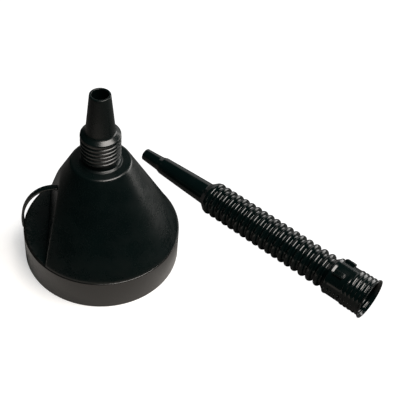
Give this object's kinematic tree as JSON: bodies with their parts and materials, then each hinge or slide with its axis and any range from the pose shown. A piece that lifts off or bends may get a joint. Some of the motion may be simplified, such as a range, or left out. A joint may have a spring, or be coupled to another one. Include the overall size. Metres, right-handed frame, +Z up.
{
  "type": "funnel with flexible spout",
  "caption": "Black plastic funnel standing on its mouth, with a finger loop and a screw neck, and its loose corrugated flexible spout beside it.",
  "frame": {"origin": "centre of the set's box on the surface that it stands on", "axes": "+Z up along the funnel axis towards the nozzle, +X from the finger loop towards the spout, +Y away from the viewer"},
  "size_m": [0.3572, 0.2346, 0.2002],
  "materials": {
    "funnel_plastic": "satin moulded",
    "spout_plastic": "satin blow-moulded",
    "gauze_brass": "woven wire"
  },
  "bodies": {
    "funnel": {"rim_band": "funnel_plastic", "cone_shell": "funnel_plastic", "finger_loop": "funnel_plastic", "threaded_neck": "funnel_plastic", "nozzle": "funnel_plastic"},
    "strainer": {"strainer_frame": "funnel_plastic", "strainer_gauze": "gauze_brass"},
    "spout_end": {"spout_tube": "spout_plastic", "hose_ring_01": "spout_plastic"},
    "hose_02": {"hose_ring_02": "spout_plastic"},
    "hose_03": {"hose_ring_03": "spout_plastic"},
    "hose_04": {"hose_ring_04": "spout_plastic"},
    "hose_05": {"hose_ring_05": "spout_plastic"},
    "hose_06": {"hose_ring_06": "spout_plastic"},
    "hose_07": {"hose_ring_07": "spout_plastic"},
    "hose_08": {"hose_ring_08": "spout_plastic"},
    "hose_09": {"hose_ring_09": "spout_plastic"},
    "hose_10": {"hose_ring_10": "spout_plastic"},
    "hose_11": {"hose_ring_11": "spout_plastic"},
    "hose_12": {"hose_ring_12": "spout_plastic"},
    "hose_13": {"hose_ring_13": "spout_plastic"},
    "hose_14": {"hose_ring_14": "spout_plastic"},
    "hose_15": {"hose_ring_15": "spout_plastic"},
    "hose_16": {"hose_ring_16": "spout_plastic"},
    "hose_17": {"hose_ring_17": "spout_plastic"},
    "cuff": {"hose_ring_18": "spout_plastic", "spout_cuff": "spout_plastic"}
  },
  "joints": [
    {"name": "strainer_pull", "type": "slide", "parent": "funnel", "child": "strainer", "axis": [0, 0, -1], "range_m": [0, 0.09]},
    {"name": "spout_lift", "type": "slide", "parent": "funnel", "child": "spout_end", "axis": [0, 0, 1], "range_m": [0, 0.15]},
    {"name": "side_bend_01", "type": "hinge", "parent": "spout_end", "child": "hose_02", "pos_m": [0.02758, 0.03542, 0.01858], "axis": [0, 0, 1], "range_deg": [-7, 7], "stiffness_Nm_per_rad": 2},
    {"name": "up_bend_02", "type": "hinge", "parent": "hose_02", "child": "hose_03", "pos_m": [0.0334, 0.02951, 0.01872], "axis": [-0.712, -0.7022, 0], "range_deg": [0, 7], "stiffness_Nm_per_rad": 2},
    {"name": "side_bend_03", "type": "hinge", "parent": "hose_03", "child": "hose_04", "pos_m": [0.03923, 0.0236, 0.01886], "axis": [0, 0, 1], "range_deg": [-7, 7], "stiffness_Nm_per_rad": 2},
    {"name": "up_bend_04", "type": "hinge", "parent": "hose_04", "child": "hose_05", "pos_m": [0.04506, 0.01769, 0.019], "axis": [-0.712, -0.7022, 0], "range_deg": [0, 7], "stiffness_Nm_per_rad": 2},
    {"name": "side_bend_05", "type": "hinge", "parent": "hose_05", "child": "hose_06", "pos_m": [0.05088, 0.01178, 0.01914], "axis": [0, 0, 1], "range_deg": [-7, 7], "stiffness_Nm_per_rad": 2},
    {"name": "up_bend_06", "type": "hinge", "parent": "hose_06", "child": "hose_07", "pos_m": [0.05671, 0.00587, 0.01928], "axis": [-0.712, -0.7022, 0], "range_deg": [0, 7], "stiffness_Nm_per_rad": 2},
    {"name": "side_bend_07", "type": "hinge", "parent": "hose_07", "child": "hose_08", "pos_m": [0.06254, -0.00004, 0.01942], "axis": [0, 0, 1], "range_deg": [-7, 7], "stiffness_Nm_per_rad": 2},
    {"name": "up_bend_08", "type": "hinge", "parent": "hose_08", "child": "hose_09", "pos_m": [0.06837, -0.00595, 0.01955], "axis": [-0.712, -0.7022, 0], "range_deg": [0, 7], "stiffness_Nm_per_rad": 2},
    {"name": "side_bend_09", "type": "hinge", "parent": "hose_09", "child": "hose_10", "pos_m": [0.07419, -0.01185, 0.01969], "axis": [0, 0, 1], "range_deg": [-7, 7], "stiffness_Nm_per_rad": 2},
    {"name": "up_bend_10", "type": "hinge", "parent": "hose_10", "child": "hose_11", "pos_m": [0.08002, -0.01776, 0.01983], "axis": [-0.712, -0.7022, 0], "range_deg": [0, 7], "stiffness_Nm_per_rad": 2},
    {"name": "side_bend_11", "type": "hinge", "parent": "hose_11", "child": "hose_12", "pos_m": [0.08585, -0.02367, 0.01997], "axis": [0, 0, 1], "range_deg": [-7, 7], "stiffness_Nm_per_rad": 2},
    {"name": "up_bend_12", "type": "hinge", "parent": "hose_12", "child": "hose_13", "pos_m": [0.09167, -0.02958, 0.02011], "axis": [-0.712, -0.7022, 0], "range_deg": [0, 7], "stiffness_Nm_per_rad": 2},
    {"name": "side_bend_13", "type": "hinge", "parent": "hose_13", "child": "hose_14", "pos_m": [0.0975, -0.03549, 0.02025], "axis": [0, 0, 1], "range_deg": [-7, 7], "stiffness_Nm_per_rad": 2},
    {"name": "up_bend_14", "type": "hinge", "parent": "hose_14", "child": "hose_15", "pos_m": [0.10333, -0.0414, 0.02039], "axis": [-0.712, -0.7022, 0], "range_deg": [0, 7], "stiffness_Nm_per_rad": 2},
    {"name": "side_bend_15", "type": "hinge", "parent": "hose_15", "child": "hose_16", "pos_m": [0.10951, -0.04766, 0.02053], "axis": [0, 0, 1], "range_deg": [-7, 7], "stiffness_Nm_per_rad": 2},
    {"name": "up_bend_16", "type": "hinge", "parent": "hose_16", "child": "hose_17", "pos_m": [0.11604, -0.05429, 0.02069], "axis": [-0.712, -0.7022, 0], "range_deg": [0, 7], "stiffness_Nm_per_rad": 2},
    {"name": "side_bend_17", "type": "hinge", "parent": "hose_17", "child": "cuff", "pos_m": [0.12256, -0.06091, 0.02085], "axis": [0, 0, 1], "range_deg": [-7, 7], "stiffness_Nm_per_rad": 2}
  ],
  "couplings": [
    {"joint": "side_bend_03", "follows": "side_bend_01", "ratio": 1},
    {"joint": "up_bend_04", "follows": "up_bend_02", "ratio": 1},
    {"joint": "side_bend_05", "follows": "side_bend_01", "ratio": 1},
    {"joint": "up_bend_06", "follows": "up_bend_02", "ratio": 1},
    {"joint": "side_bend_07", "follows": "side_bend_01", "ratio": 1},
    {"joint": "up_bend_08", "follows": "up_bend_02", "ratio": 1},
    {"joint": "side_bend_09", "follows": "side_bend_01", "ratio": 1},
    {"joint": "up_bend_10", "follows": "up_bend_02", "ratio": 1},
    {"joint": "side_bend_11", "follows": "side_bend_01", "ratio": 1},
    {"joint": "up_bend_12", "follows": "up_bend_02", "ratio": 1},
    {"joint": "side_bend_13", "follows": "side_bend_01", "ratio": 1},
    {"joint": "up_bend_14", "follows": "up_bend_02", "ratio": 1},
    {"joint": "side_bend_15", "follows": "side_bend_01", "ratio": 1},
    {"joint": "up_bend_16", "follows": "up_bend_02", "ratio": 1},
    {"joint": "side_bend_17", "follows": "side_bend_01", "ratio": 1}
  ]
}
